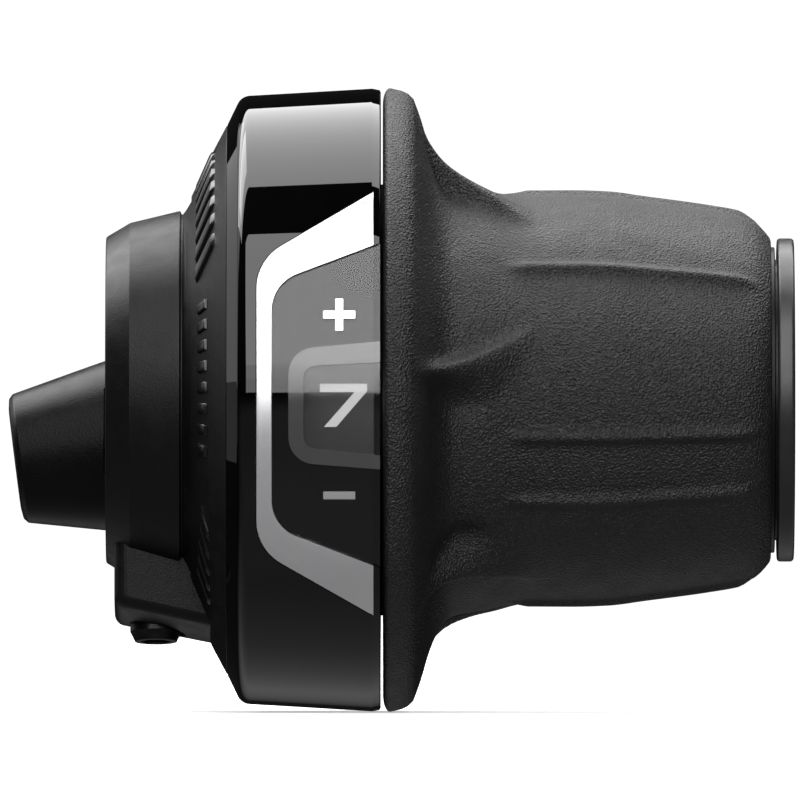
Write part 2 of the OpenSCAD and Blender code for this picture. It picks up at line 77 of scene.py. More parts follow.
ring_x0 = node_box("clamp_housing")[0].x
cover_x0, cover_x1 = node_box("gloss_cover")[0].x, node_box("gloss_cover")[1].x
cover_end_r = node_box("gloss_cover")[1].z
WINDOW_SHIFT = 0.1
trim_x0 = node_box("window_trim")[0].x + WINDOW_SHIFT
lens_x0 = node_box("window_lens")[0].x + WINDOW_SHIFT
grip_x0, grip_x1 = node_box("rubber_grip")[0].x, node_box("rubber_grip")[1].x
flange_r = node_box("rubber_grip")[1].z
core_x0, core_x1 = node_box("grip_core")[0].x, node_box("grip_core")[1].x
washer_x0, washer_x1 = node_box("end_washer")[0].x, node_box("end_washer")[1].x
washer_r = node_box("end_washer")[1].z
sleeve_x0, sleeve_x1 = node_box("inner_sleeve")[0].x, node_box("inner_sleeve")[1].x
sleeve_r = node_box("inner_sleeve")[1].z
BORE_R = 11.15
COVER_R0 = 27.6
BEVEL = 0.8
COVER_END = cover_x1 + 0.12
WINDOW_X1 = 19.75
WINDOW_Z = -0.45
LENS_X1 = COVER_END - 0.06
SCREW_ANGLE = -81.5
COVER_SCREW_ANGLES = (145, 235)
COVER_SCREW_X = 9.25

# Outer surface of the clamp ring and of the flank, as (x, radius)
RING = [(ring_x0, 14.8), (-2.36, 16.1), (2.2, 17.2)]
FLANK = [(2.75, 17.3), (3.35, 18.3), (3.2, 18.5), (5.33, 22.9), (6.44, 24.98)]

# Room in the ring and boss for the clamp's screw, nut and shoe, and in the flank for the cable door
SCREW_R, SCREW_HEAD_R, SCREW_SEAT = 2.15, 2.75, 20.55
NUT_HALF, NUT_R = 3.55, (15.45, 18.75)
SHOE_X, SHOE_R, SHOE_HALF_TURN = (-3.1, 2.1), 12.0, 19
DOOR_R, DOOR_ANGLES = (18.3, 22.7), (109.7, 134.3)
GUIDE_R = 1.7

# Edges in the gear window, from its middle height: (top, bottom, top at the right end, bottom at the
# right end, corner radius)
TRIM_EDGE = (13.1, -13.1, 19.3, -19.1, 4.4)
LENS_EDGE = (10.95, -11, 14.4, -14.5, 3.5)
FRAME_EDGE = (5, -5.15, 5.75, -5.8, 2.4)
FRAME_OPENING = (3.5, -3.85, 3.85, -4.55, 1.2)
FRAME_X0 = 12.1
OPENING_X0 = FRAME_X0 + 1.35
LENS_SLOPE = 0.373

# ---- geometry helpers ----


def at(x, angle, radius):
    a = math.radians(angle)
    return (x, -radius * math.cos(a), radius * math.sin(a))


def turned(angle):
    """Places something drawn at the window at an angle round the bar."""
    return Matrix.Rotation(-math.radians(angle), 4, "X")


def build(name, verts, faces, smooth=35):
    mesh = bpy.data.meshes.new(name)
    mesh.from_pydata([tuple(c * MM for c in v) for v in verts], [], faces)
    bm = bmesh.new()
    bm.from_mesh(mesh)
    bmesh.ops.remove_doubles(bm, verts=bm.verts, dist=1e-7)
    bmesh.ops.recalc_face_normals(bm, faces=bm.faces)
    bm.to_mesh(mesh)
    bm.free()
    shade(mesh, smooth)
    piece = bpy.data.objects.new(name, mesh)
    bpy.context.scene.collection.objects.link(piece)
    return piece


def shade(mesh, angle=35):
    mesh.polygons.foreach_set("use_smooth", [True] * len(mesh.polygons))
    mesh.set_sharp_from_angle(angle=math.radians(angle))


def rounded(points, radii, steps=5):
    """Closed outline with each corner rounded to its own radius."""
    out = []
    count = len(points)
    for i, here in enumerate(points):
        r = radii[i] if isinstance(radii, (list, tuple)) else radii
        p = Vector(here)
        u = Vector(points[i - 1]) - p
        v = Vector(points[(i + 1) % count]) - p
        room = 0.45 * min(u.length, v.length)
        u.normalize()
        v.normalize()
        half = u.angle(v) / 2
        if r <= 0 or half > math.radians(89):
            out.append(tuple(p))
            continue
        reach = min(r / math.tan(half), room)
        r = reach * math.tan(half)
        middle = p + (u + v).normalized() * (r / math.sin(half))
        start, end = p + u * reach - middle, p + v * reach - middle
        turn = start.angle_signed(end)
        for k in range(steps + 1):
            a = -turn * k / steps
            ca, sa = math.cos(a), math.sin(a)
            out.append((middle.x + start.x * ca - start.y * sa, middle.y + start.x * sa + start.y * ca))
    return out


def skin(loops, count, endless=False):
    """Faces between closed loops of count points each, capped at both ends unless the row is endless."""
    faces = []
    for k in range(loops if endless else loops - 1):
        p, q = k * count, (k + 1) % loops * count
        for i in range(count):
            j = (i + 1) % count
            faces.append((p + i, p + j, q + j, q + i))
    if not endless:
        faces += [tuple(range(count)), tuple(range((loops - 1) * count, loops * count))]
    return faces


def lathe(name, profile, segments=256, a0=None, a1=None):
    """Closed (x, radius) profile turned about the bar, all the way or from angle a0 to a1."""
    whole = a0 is None
    stops = segments if whole else segments + 1
    verts = []
    for j in range(stops):
        angle = 360 * j / segments if whole else a0 + (a1 - a0) * j / segments
        verts += [at(x, angle, r) for x, r in profile]
    return build(name, verts, skin(stops, len(profile), whole))


def moved(piece, matrix):
    """Moves a piece's mesh by a matrix whose offset is in millimetres."""
    m = matrix.copy()
    m.translation = m.translation * MM
    piece.data.transform(m)
    return piece


def rod(radius, x0, x1, segments=48):
    """Cutter along +X from x0 to x1."""
    verts = [at(x, 360 * j / segments, radius) for x in (x0, x1) for j in range(segments)]
    return build("cutter", verts, skin(2, segments))


def pin(angle, x, r_from, r_to, radius):
    """Cutter along the radius at an angle, between two distances from the bar's axis."""
    aim = Matrix.Translation((x, 0, 0)) @ Matrix.Rotation(math.radians(-90), 4, "Z")
    return moved(rod(radius, r_from, r_to), turned(angle) @ aim)


def block(low, high):
    """Box-shaped cutter between two corners."""
    verts = [(x, y, z) for x in (low[0], high[0]) for y in (low[1], high[1]) for z in (low[2], high[2])]
    faces = [(0, 1, 3, 2), (4, 6, 7, 5), (0, 4, 5, 1), (2, 3, 7, 6), (0, 2, 6, 4), (1, 5, 7, 3)]
    return build("cutter", verts, faces)


def combine(piece, tool, operation="DIFFERENCE"):
    mod = piece.modifiers.new("combine", "BOOLEAN")
    mod.operation = operation
    mod.solver = "EXACT"
    mod.object = tool
    depsgraph = bpy.context.evaluated_depsgraph_get()
    result = bpy.data.meshes.new_from_object(piece.evaluated_get(depsgraph))
    piece.modifiers.remove(mod)
    piece.data = result
    shade(result)
    bpy.data.objects.remove(tool)
    return piece


def joined(name, pieces):
    """One object from several, each mesh kept as a shell of its own."""
    bm = bmesh.new()
    for piece in pieces:
        bm.from_mesh(piece.data)
        bpy.data.objects.remove(piece)
    mesh = bpy.data.meshes.new(name)
    bm.to_mesh(mesh)
    bm.free()
    shade(mesh)
    whole = bpy.data.objects.new(name, mesh)
    bpy.context.scene.collection.objects.link(whole)
    return whole


def finish_piece(piece, material, slot, body, *replaced):
    """Gives a piece its material, hangs it on its body, hides the CAD parts it replaces, and keeps its flats
    flat next to small edges.
    """
    piece.data.materials.clear()
    piece.data.materials.append(material)
    normals = piece.modifiers.new("normals", "WEIGHTED_NORMAL")
    normals.keep_sharp = True
    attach(piece, body)
    if replaced:
        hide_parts(*replaced)
    return piece


def curve_through(points, x):
    """Smooth curve through (x, y) points that never overshoots them."""
    px, py = np.array(points, float).T
    h = np.diff(px)
    slope = np.diff(py) / h
    tangent = np.zeros_like(px)
    tangent[0], tangent[-1] = slope[0], slope[-1]
    same = slope[:-1] * slope[1:] > 0
    mean = (h[:-1] + h[1:]) * 3
    w1, w2 = 2 * h[1:] + h[:-1], h[1:] + 2 * h[:-1]
    with np.errstate(divide="ignore", invalid="ignore"):
        harmonic = mean / (w1 / slope[:-1] + w2 / slope[1:])
    tangent[1:-1] = np.where(same, harmonic, 0)
    x = np.clip(x, px[0], px[-1])
    i = np.clip(np.searchsorted(px, x) - 1, 0, len(px) - 2)
    t = (x - px[i]) / h[i]
    return (
        py[i] * (1 + 2 * t) * (1 - t) ** 2
        + py[i + 1] * t * t * (3 - 2 * t)
        + h[i] * (tangent[i] * t * (1 - t) ** 2 - tangent[i + 1] * t * t * (1 - t))
    )


# ---- materials ----


class Shader:
    """A Principled material and short ways to add the nodes it needs."""

    def __init__(self, name, **sockets):
        self.material = bpy.data.materials.new(name)
        self.material.use_nodes = True
        self.tree = self.material.node_tree
        self.bsdf = self.tree.nodes["Principled BSDF"]
        for socket, value in sockets.items():
            self.bsdf.inputs[socket.replace("_", " ")].default_value = value
        self.place = self.node("ShaderNodeTexCoord").outputs["Object"]

    def node(self, kind, **settings):
        n = self.tree.nodes.new(kind)
        for key, value in settings.items():
            if key in n.inputs:
                n.inputs[key].default_value = value
            else:
                setattr(n, key, value)
        return n

    def link(self, a, b):
        self.tree.links.new(a, b)

    def noise(self, size, detail=2.0, roughness=0.5, distortion=0.0):
        n = self.node("ShaderNodeTexNoise", Scale=1000 / size, Detail=detail)
        n.inputs["Roughness"].default_value = roughness
        n.inputs["Distortion"].default_value = distortion
        self.link(self.place, n.inputs["Vector"])
        return n.outputs["Fac"]

    def cells(self, size, smooth=0.6):
        n = self.node("ShaderNodeTexVoronoi", feature="SMOOTH_F1", Scale=1000 / size, Smoothness=smooth)
        self.link(self.place, n.inputs["Vector"])
        return n.outputs["Distance"]

    def ramp(self, source, low, high, to_low, to_high):
        n = self.node("ShaderNodeMapRange")
        for i, value in enumerate((low, high, to_low, to_high), 1):
            n.inputs[i].default_value = value
        self.link(source, n.inputs[0])
        return n.outputs[0]

    def colour(self, source, dark, light):
        n = self.node("ShaderNodeMix", data_type="RGBA")
        self.link(source, n.inputs["Factor"])
        n.inputs[6].default_value = (*dark, 1)
        n.inputs[7].default_value = (*light, 1)
        self.link(n.outputs[2], self.bsdf.inputs["Base Color"])

    def add(self, a, b, weight):
        n = self.node("ShaderNodeMath", operation="MULTIPLY_ADD")
        self.link(b, n.inputs[0])
        n.inputs[1].default_value = weight
        self.link(a, n.inputs[2])
        return n.outputs[0]

    def rough(self, source):
        self.link(source, self.bsdf.inputs["Roughness"])

    def bump(self, source, depth, strength=1.0):
        n = self.node("ShaderNodeBump", Strength=strength, Distance=depth * MM)
        self.link(source, n.inputs["Height"])
        self.link(n.outputs[0], self.bsdf.inputs["Normal"])


def grey(value, blue=0.0):
    return (value, value, value + blue)


def moulded(name, dark, light, rough, grain, depth, **sockets):
    """Moulded plastic: slow mottling, uneven sheen and a fine eroded grain."""
    s = Shader(name, **sockets)
    s.colour(s.ramp(s.noise(7, 4), 0.3, 0.7, 0, 1), dark, light)
    s.rough(s.ramp(s.noise(1.6, 3), 0.3, 0.7, rough[0], rough[1]))
    s.bump(s.add(s.noise(grain, 2, 0.6), s.noise(grain * 3.5, 2), 0.5), depth)
    return s.material


def polished(name, dark, light, rough, depth, **sockets):
    """Smooth moulding: faint waviness, and a sheen dulled here and there by dust."""
    s = Shader(name, **sockets)
    s.colour(s.ramp(s.noise(9, 3), 0.35, 0.65, 0, 1), dark, light)
    s.rough(s.ramp(s.noise(0.9, 5, 0.7), 0.45, 0.75, rough[0], rough[1]))
    s.bump(s.noise(5, 1), depth)
    return s.material


def turned_metal(name, dark, light, rough, depth):
    """Machined steel: fine turning marks along the bar, and darker patches."""
    s = Shader(name, Metallic=1.0)
    s.colour(s.ramp(s.noise(3, 4, 0.7), 0.3, 0.7, 0, 1), dark, light)
    s.rough(s.ramp(s.noise(1.2, 4), 0.3, 0.7, rough[0], rough[1]))
    wave = s.node("ShaderNodeTexWave", wave_type="RINGS", rings_direction="X", Scale=1500.0, Distortion=1.5)
    s.link(s.place, wave.inputs["Vector"])
    s.bump(s.add(wave.outputs["Fac"], s.noise(0.3, 3), 1.0), depth)
    return s.material


def rubber_material():
    """Grip rubber: a leathery pebble grain about 0.2 mm across, paler on its peaks."""
    s = Shader("grip_rubber", IOR=1.49)
    pebble = s.add(s.cells(0.22, 0.2), s.noise(0.15, 1.5, 0.5), 1.3)
    s.colour(s.ramp(s.add(s.noise(5, 4), pebble, 0.4), 0.4, 1.3, 0, 1), grey(0.003), grey(0.010, 0.0003))
    s.rough(s.ramp(s.noise(2.5, 4), 0.3, 0.7, 0.42, 0.54))
    s.bump(pebble, 0.115)
    return s.material


black_nylon = moulded("black_nylon", grey(0.0028, 0.0002), grey(0.005, 0.0003), (0.34, 0.44), 0.18, 0.016,
                      IOR=1.31)
# Painted shade: the cable outlet gets a darker, less reflective copy of the black nylon, standing in for the
# shade that the ring and cover cast on it.
outlet_nylon_painted_shade = moulded("outlet_nylon_painted_shade", grey(0.0022, 0.0002), grey(0.004, 0.0002), (0.29, 0.37), 0.18, 0.016,
                       IOR=1.24)
raised_nylon = moulded("raised_nylon", grey(0.004, 0.0002), grey(0.008, 0.0003), (0.14, 0.22), 0.3, 0.003,
                       IOR=1.45)
gloss_black = polished("gloss_black", grey(0.0006), grey(0.0012, 0.0001), (0.015, 0.035), 0.0004)
silver_trim = moulded("silver_trim", grey(0.82, 0.02), grey(0.87, 0.02), (0.30, 0.34), 0.1, 0.0004,
                      Metallic=0.85)
smoked_lens = polished("smoked_lens", grey(0.002), grey(0.004), (0.015, 0.03), 0.0002, IOR=3.0, Alpha=0.04)
numeral_glaze = polished("numeral_glaze", grey(0.66), grey(0.72), (0.08, 0.14), 0.0002,
                         Metallic=1.0, Alpha=0.055)
white_marks = polished("white_marks", grey(0.90), grey(0.95), (0.3, 0.4), 0.0005)
frosted_grey = moulded("frosted_grey", grey(0.055, 0.002), grey(0.066, 0.002), (0.12, 0.18), 0.3, 0.0004,
                       IOR=1.8)
drum_grey = moulded("drum_grey", grey(0.040, 0.002), grey(0.049, 0.002), (0.4, 0.5), 0.2, 0.006, IOR=1.4)
sleeve_nylon = moulded("sleeve_nylon", grey(0.018, 0.002), grey(0.028, 0.002), (0.35, 0.48), 0.3, 0.01)
natural_acetal = moulded("natural_acetal", (0.62, 0.60, 0.54), (0.72, 0.70, 0.64), (0.35, 0.5), 0.3, 0.006)
bronze_acetal = moulded("bronze_acetal", (0.30, 0.24, 0.16), (0.42, 0.34, 0.24), (0.35, 0.5), 0.3, 0.006)
dark_steel = turned_metal("dark_steel", grey(0.018, 0.002), grey(0.045, 0.003), (0.3, 0.45), 0.004)
bright_steel = turned_metal("bright_steel", grey(0.45, 0.02), grey(0.62, 0.02), (0.22, 0.38), 0.003)
spring_steel = turned_metal("spring_steel", (0.38, 0.39, 0.42), (0.55, 0.56, 0.60), (0.2, 0.3), 0.002)
washer_grey = moulded("washer_grey", grey(0.012, 0.0005), grey(0.020, 0.001), (0.3, 0.4), 0.3, 0.006)
grip_rubber = rubber_material()

# CAD nodes whose shape stays, by material
for material, names in (
    (dark_steel, ("clamp_screw", "cover_screws", "hatch_screw")),
    (bright_steel, ("clamp_nut", "clamp_shoe", "spring_screw")),
    (spring_steel, ("detent_spring",)),
    (black_nylon, ("cable_hatch",)),
    (natural_acetal, ("cable_guide", "thrust_washer", "winder_spool")),
    (bronze_acetal, ("detent_ring",)),
    (drum_grey, ("indicator_drum",)),
    (white_marks, ("gear_digits",)),
):
    for name in names:
        nodes[name].data.materials.clear()
        nodes[name].data.materials.append(material)

# ---- camera ----

VIEW_WIDTH = 72.73
LENS = 1600.0
camera_data = bpy.data.cameras.new("camera")
camera_data.lens = LENS
camera_data.sensor_width = 36
camera_data.clip_end = 50
camera = bpy.data.objects.new("camera", camera_data)
bpy.context.scene.collection.objects.link(camera)
bpy.context.scene.camera = camera
view_x = (cad_low.x + cad_high.x) / 2
camera.location = (view_x, -VIEW_WIDTH * MM * LENS / 36, 0)
camera.rotation_euler = (math.radians(90), 0, 0)

# ---- clamp ring, flank and screw boss ----


def screw_boss():
    """Boss under the ring: flat sides, a conical underside and soft edges."""
    x0, x1, half = -3.75, 5.6, 9.0
    edge = 0.8

    def underside(x, y):
        return -math.sqrt((21.1 + 0.2 * x) ** 2 - y * y)

    def corner(x, y, r, start):
        angles = [math.radians(start + 90 * k / 6) for k in range(7)]
        return [(x + r * math.cos(a), y + r * math.sin(a)) for a in angles]

    def outline(inset):
        """Plan of the boss, drawn in by inset, with both outboard corners square inside the flank."""
        r = max(1.2 - inset, 0.1)
        x, y = x0 + inset + r, half - inset - r
        points = corner(x, -y, r, 180) + [(x1, inset - half), (x1, half - inset)] + corner(x, y, r, 90)
        dense = []
        for p, q in zip(points, points[1:] + points[:1]):
            dense += [(p[0] + (q[0] - p[0]) * k / 8, p[1] + (q[1] - p[1]) * k / 8) for k in range(8)]
        return dense

    loops = [[(x, y, -12.0) for x, y in outline(0)]]
    for k in range(9):
        a = math.radians(90 * k / 8)
        ring = outline(edge * (1 - math.cos(a)))
        loops.append([(x, y, underside(x, y) + edge * (1 - math.sin(a))) for x, y in ring])
    for k in range(1, 9):
        f = 1 - k / 8.5
        ring = [(1.0 + (x - 1.0) * f, y * f) for x, y in outline(edge)]
        loops.append([(x, y, underside(x, y)) for x, y in ring])
    verts = [v for loop in loops for v in loop]
    return build("boss", verts, skin(len(loops), len(loops[0])))


def clamp_housing():
    """Clamp ring, neck and flank as one shell, and the screw boss, with room for what they hold."""
    profile = [(ring_x0, BORE_R)] + RING + [(2.35, 16.75)] + FLANK
    profile += [(6.62, 24.62), (7.36, 25.97), (9.0, 25.97), (9.0, 24.7), (8.24, 24.7), (6.77, 22.0)]
    profile += [(4.8, 20.02), (4.8, sleeve_r), (2.4, sleeve_r), (2.4, BORE_R)]
    radii = [0.25, 0.3, 0.2, 0.12, 0.1, 0.1, 0.08, 0.08, 0.15, 0.04] + [0] * 10
    shell = lathe("shell", rounded(profile, radii, 4), 320)
    boss = screw_boss()
    for target in (shell, boss):
        combine(target, pin(SCREW_ANGLE, 0, 10, 24, SCREW_R))
        combine(target, pin(SCREW_ANGLE, 0, SCREW_SEAT, 24, SCREW_HEAD_R))
        nut_slot = block((-NUT_HALF, -NUT_R[1], -12), (NUT_HALF, -NUT_R[0], 3.5))
        combine(target, moved(nut_slot, turned(SCREW_ANGLE)))
    pocket = [(SHOE_X[0], 10), (SHOE_X[0], SHOE_R), (SHOE_X[1], SHOE_R), (SHOE_X[1], 10)]
    combine(shell, lathe("cutter", pocket, 48, SCREW_ANGLE - SHOE_HALF_TURN, SCREW_ANGLE + SHOE_HALF_TURN))
    door = [(0, DOOR_R[0]), (0, DOOR_R[1]), (9, DOOR_R[1]), (9, DOOR_R[0])]
    combine(shell, lathe("cutter", door, 48, *DOOR_ANGLES))
    combine(shell, moved(rod(GUIDE_R, 0, 19.5), outlet_frame()))
    return joined("clamp_ring_and_flank", [shell, boss])


def outlet_frame():
    """Places something drawn along +X from its end face on the cable outlet's axis."""
    tilt = Matrix.Rotation(math.radians(-7.1), 4, "Y")
    return Matrix.Translation((-12.95, 20, -5.4)) @ tilt


def cable_outlet():
    """Tapered barrel with a stepped bore and a low ledge on its front, trimmed to fit round the ring."""
    def r(s):
        return 5.87 + s * math.tan(math.radians(12.5))

    profile = [(21, r(21)), (21, 1.45), (8, 1.45), (8, 2.55), (0.1, 2.55)]
    profile += [(-0.12, 3.4), (-0.12, 4.6), (0.02, 5.5), (0.4, r(0.3)), (6, r(6)), (14, r(14))]
    barrel = lathe("barrel", rounded(profile, [0, 0, 0, 0, 0.3, 0.3, 0.3, 0.3, 0.35, 0, 0], 4), 192)
    ledge = [(3.4, r(3.4) - 0.6), (3.4, r(3.4) + 0.16), (8.0, r(8.0) + 0.2), (8.0, r(8.0) - 0.6)]
    ledge = lathe("ledge", rounded(ledge, 0.12, 3), 40, -103, -62)
    barrel = joined("barrel", [barrel, ledge])
    moved(barrel, outlet_frame())
    inside = [(x, radius - 0.35) for x, radius in RING[1:] + FLANK[:1] + FLANK[3:]]
    envelope = [(-20, 11.75), (-4.9, 11.75), (-4.9, 14.4)] + inside
    envelope += [(7.14, 25.9), (7.14, 28.0), (-20, 28.0)]
    combine(barrel, lathe("cutter", envelope, 256), "INTERSECT")
    barrel.name = "cable_outlet_barrel"
    return barrel


finish_piece(clamp_housing(), black_nylon, "black_nylon", HOUSING, "clamp_housing")
# The outlet's darker copy of the nylon is painted shade.
finish_piece(cable_outlet(), outlet_nylon_painted_shade, "black_nylon", HOUSING, "cable_outlet")


def flank_point(angle, radius, lift):
    """Point on the flank's cone at a radius, raised along the cone's normal."""
    (x0, r0), (x1, r1) = FLANK[2], FLANK[3]
    slope = (r1 - r0) / (x1 - x0)
    x = x0 + (radius - r0) / slope
    size = math.hypot(slope, 1)
    return at(x - lift * slope / size, angle, radius + lift / size)


def flank_bar(angle, r0, r1, width, skew, height=0.26):
    """Small raised bar on the flank, slanted by skew degrees from foot to head, with soft edges."""
    verts = []
    section = [(-0.5, -0.3), (-0.5, 0.55), (-0.34, 0.92), (0.34, 0.92), (0.5, 0.55), (0.5, -0.3)]
    rows = [(0.0, 0.0), (0.06, 0.8), (0.14, 1.0), (0.86, 1.0), (0.94, 0.8), (1.0, 0.0)]
    for t, up in rows:
        radius = r0 + (r1 - r0) * t
        for u, v in section:
            a = angle + skew * (t - 0.5) + math.degrees(u * width / radius)
            verts.append(flank_point(a, radius, height * (v * up if v > 0 else v)))
    return build("bar", verts, skin(len(rows), len(section)))


def flank_marks():
    """Plain raised marks on the flank: a slanted row above, small studs in the middle, slanted ones below."""
    bars = [flank_bar(37 + 6.4 * i, 19.6, 23.0, 1.3, 5, 0.36) for i in range(7)]
    bars += [flank_bar(-12.5 + 5.2 * i, 20.0, 21.6, 0.95, 0) for i in range(8)]
    bars += [flank_bar(-53 + 5.4 * i, 19.9 + 0.2 * i, 22.1, 0.8, -6) for i in range(5)]
    return joined("flank_marks", bars)


finish_piece(flank_marks(), raised_nylon, "black_nylon", HOUSING)

# ---- glossy cover and gear window ----


def cover_r(x):
    """Radius of the cover's outside: a slight cone, then a shallow bevel at the outboard end."""
    bevel_x = COVER_END - BEVEL
    cone = COVER_R0 + (cover_end_r - COVER_R0) * (min(x, bevel_x) - cover_x0) / (cover_x1 - cover_x0)
    return cone - 0.2 * max(x - bevel_x, 0)


def prism(outline):
    """Cutter through the cover at the window, with an (x, z) outline."""
    verts = [(x, y, z) for y in (-15, -35) for x, z in outline]
    return build("cutter", verts, skin(2, len(outline)))


def gloss_cover():
    """Cover with a conical shoulder that laps over the flank, and an opening for the trim and lens."""
    bevel_x = COVER_END - BEVEL
    profile = [(7.35, 26.04), (6.72, 24.9), (6.48, 25.02), (7.74, 27.62), (bevel_x, cover_r(bevel_x))]
    profile += [(COVER_END - 0.1, cover_r(COVER_END - 0.1)), (COVER_END, cover_end_r - BEVEL / 2)]
    profile += [(COVER_END, 26.9), (COVER_END - 0.6, 26.3), (10.4, 26.3), (10.3, 26.04)]
    cover = lathe("cover", rounded(profile, [0, 0.05, 0.05, 1.3, 0.1, 0.08, 0.08, 0.1, 0.1, 0, 0], 10), 512)
    combine(cover, prism(trim_outline(0)))
    combine(cover, prism(lens_outline(0, 21.0)))
    for angle in COVER_SCREW_ANGLES:
        combine(cover, pin(angle, COVER_SCREW_X, 25, 30, 0.85))
        combine(cover, pin(angle, COVER_SCREW_X, 26.6, 30, 1.08))
    cover.name = "cover_shell"
    return cover


def window_outline(x0, edge, gap=0, x1=WINDOW_X1):
    """Outline open to the right and drawn in by gap: points from the right end of the upper edge, round
    the left side, to the right end of the lower edge."""
    top, bottom, top_end, bottom_end, radius = edge
    a, b = Vector((x1, WINDOW_Z + top_end - gap)), Vector((x0 + gap, WINDOW_Z + top - gap))
    c, d = Vector((x0 + gap, WINDOW_Z + bottom + gap)), Vector((x1, WINDOW_Z + bottom_end + gap))

    def corner(p, q, r):
        u, v = (p - q).normalized(), (r - q).normalized()
        half = u.angle(v) / 2
        reach = radius / math.tan(half)
        middle = q + (u + v).normalized() * (radius / math.sin(half))
        start, end = q + u * reach - middle, q + v * reach - middle
        a0 = math.atan2(start.y, start.x)
        turn = math.atan2(start.x * end.y - start.y * end.x, start.dot(end))
        angles = [a0 + turn * k / 10 for k in range(11)]
        return [middle + radius * Vector((math.cos(angle), math.sin(angle))) for angle in angles]

    one, two = corner(a, b, c), corner(b, c, d)
    points = [a.lerp(one[0], k / 20) for k in range(20)] + one
    points += [one[-1].lerp(two[0], k / 20) for k in range(1, 20)] + two
    points += [two[-1].lerp(d, k / 20) for k in range(1, 21)]
    return [(p.x, p.y) for p in points]


def trim_outline(gap):
    return window_outline(trim_x0, TRIM_EDGE, gap)


def lens_outline(gap, x1):
    """Outline of the lens, its sloping edges carried on to x1."""
    more = LENS_SLOPE * (x1 - WINDOW_X1)
    top, bottom, top_end, bottom_end, radius = LENS_EDGE
    return window_outline(lens_x0, (top, bottom, top_end + more, bottom_end - more, radius), gap, x1)


def frame_outline():
    """Outer edge of the frame round the numeral."""
    return window_outline(FRAME_X0, FRAME_EDGE, x1=LENS_X1)


def opening_outline():
    """Inner edge of the frame round the numeral."""
    return window_outline(OPENING_X0, FRAME_OPENING, x1=LENS_X1)


def on_cover(x, z, depth):
    """Point under the cover's surface. The layers inside the lens take no notice of the bevel."""
    r = cover_r(x if depth < 0.25 else min(x, COVER_END - BEVEL)) - depth
    return (x, -math.sqrt(r * r - z * z), z)


def strip(name, outer, inner, section):
    """Band between two matching outlines. The section gives (part of the way from the outer outline
    to the inner one, millimetres to add to that, depth)."""
    verts = []
    for (xo, zo), (xi, zi) in zip(outer, inner):
        width = math.hypot(xi - xo, zi - zo)
        for part, more, depth in section:
            t = part + more / width
            verts.append(on_cover(xo + (xi - xo) * t, zo + (zi - zo) * t, depth))
    return build(name, verts, skin(len(outer), len(section)))


def flat_section(top, bottom, steps=8):
    """Section of a plain band between two depths, stepped across so that it follows the cover's curve."""
    parts = [k / steps for k in range(steps + 1)]
    return [(part, 0, top) for part in parts] + [(1 - part, 0, bottom) for part in parts]


def window_trim():
    section = [(0, 0, 1.5), (0, 0, 0.1), (0, 0.04, 0.02), (0, 0.12, 0), (0.3, 0, 0), (0.5, 0, 0), (0.7, 0, 0)]
    section += [(1, -0.12, 0), (1, -0.04, 0.02), (1, 0, 0.08), (1, 0, 1.5)]
    return strip("trim_band", trim_outline(0.04), lens_outline(0, WINDOW_X1), section)


def lens(name, outline, top, bottom, columns=31, steps=48):
    """Curved pane inside an outline, between two depths below the cover's surface."""
    verts = []
    faces = []
    m = steps + 1
    for depth in (top, bottom):
        for k in range(columns):
            (xa, za), (xb, zb) = outline[k], outline[-1 - k]
            for i in range(m):
                t = i / steps
                verts.append(on_cover(xa + (xb - xa) * t, za + (zb - za) * t, depth))
    half = columns * m
    for k in range(columns - 1):
        for i in range(steps):
            q = k * m + i
            faces.append((q, q + 1, q + m + 1, q + m))
            faces.append((half + q, half + q + m, half + q + m + 1, half + q + 1))
    rim = [k * m for k in range(columns)] + [(columns - 1) * m + i for i in range(1, m)]
    rim += [k * m + steps for k in range(columns - 2, -1, -1)] + [i for i in range(steps - 1, 0, -1)]
    faces += [(a, b, half + b, half + a) for a, b in zip(rim, rim[1:] + rim[:1])]
    return build(name, verts, faces)


def shift_marks():
    """Thin plus and minus signs printed on the lens, as far above and below its middle."""
    x, reach, half = 16.68, 1.44, 0.35

    def bar(z, width, height):
        left = [(x - width, z + height - 2 * height * k / 6) for k in range(7)]
        right = [(x + width, z + height - 2 * height * k / 6) for k in range(7)]
        return strip("bar", left, right, flat_section(0.03, 0.055, 4))

    plus, minus = WINDOW_Z + 8.15, WINDOW_Z - 8.15
    arm = (reach - half) / 2
    arms = [bar(plus + side * (half + arm), half, arm) for side in (-1, 1)]
    return joined("shift_marks", [bar(plus, reach, half), *arms, bar(minus, reach, half)])


def lens_mask():
    """Opaque backing printed under the lens, open where the numeral shows."""
    return strip("lens_backing", lens_outline(0.02, LENS_X1), frame_outline(), flat_section(0.27, 0.37, 12))


def numeral_frame():
    """Frosted frame round the numeral, open to the right like the lens."""
    return strip("numeral_frame", frame_outline(), opening_outline(), flat_section(0.26, 1.1))


finish_piece(gloss_cover(), gloss_black, "gloss_black", HOUSING, "gloss_cover")
finish_piece(window_trim(), silver_trim, "silver_trim", HOUSING, "window_trim")
pane = lens("lens_pane", lens_outline(0.01, LENS_X1), 0.06, 0.24)
finish_piece(pane, smoked_lens, "smoked_lens", HOUSING, "window_lens")
finish_piece(lens_mask(), gloss_black, "gloss_black", HOUSING)
finish_piece(numeral_frame(), frosted_grey, "frosted_grey", HOUSING, "digit_frame")
numeral_pane = lens("numeral_pane", opening_outline(), 0.33, 0.6)
finish_piece(numeral_pane, numeral_glaze, "smoked_lens", HOUSING)
finish_piece(shift_marks(), silver_trim, "white_marks", HOUSING, "plus_minus_marks")

# ---- sleeve, core and washer ----


def sleeve():
    profile = [(sleeve_x0, BORE_R), (sleeve_x0, sleeve_r), (sleeve_x1, sleeve_r), (sleeve_x1, BORE_R)]
    return lathe("bar_sleeve", rounded(profile, 0.3, 4), 256)


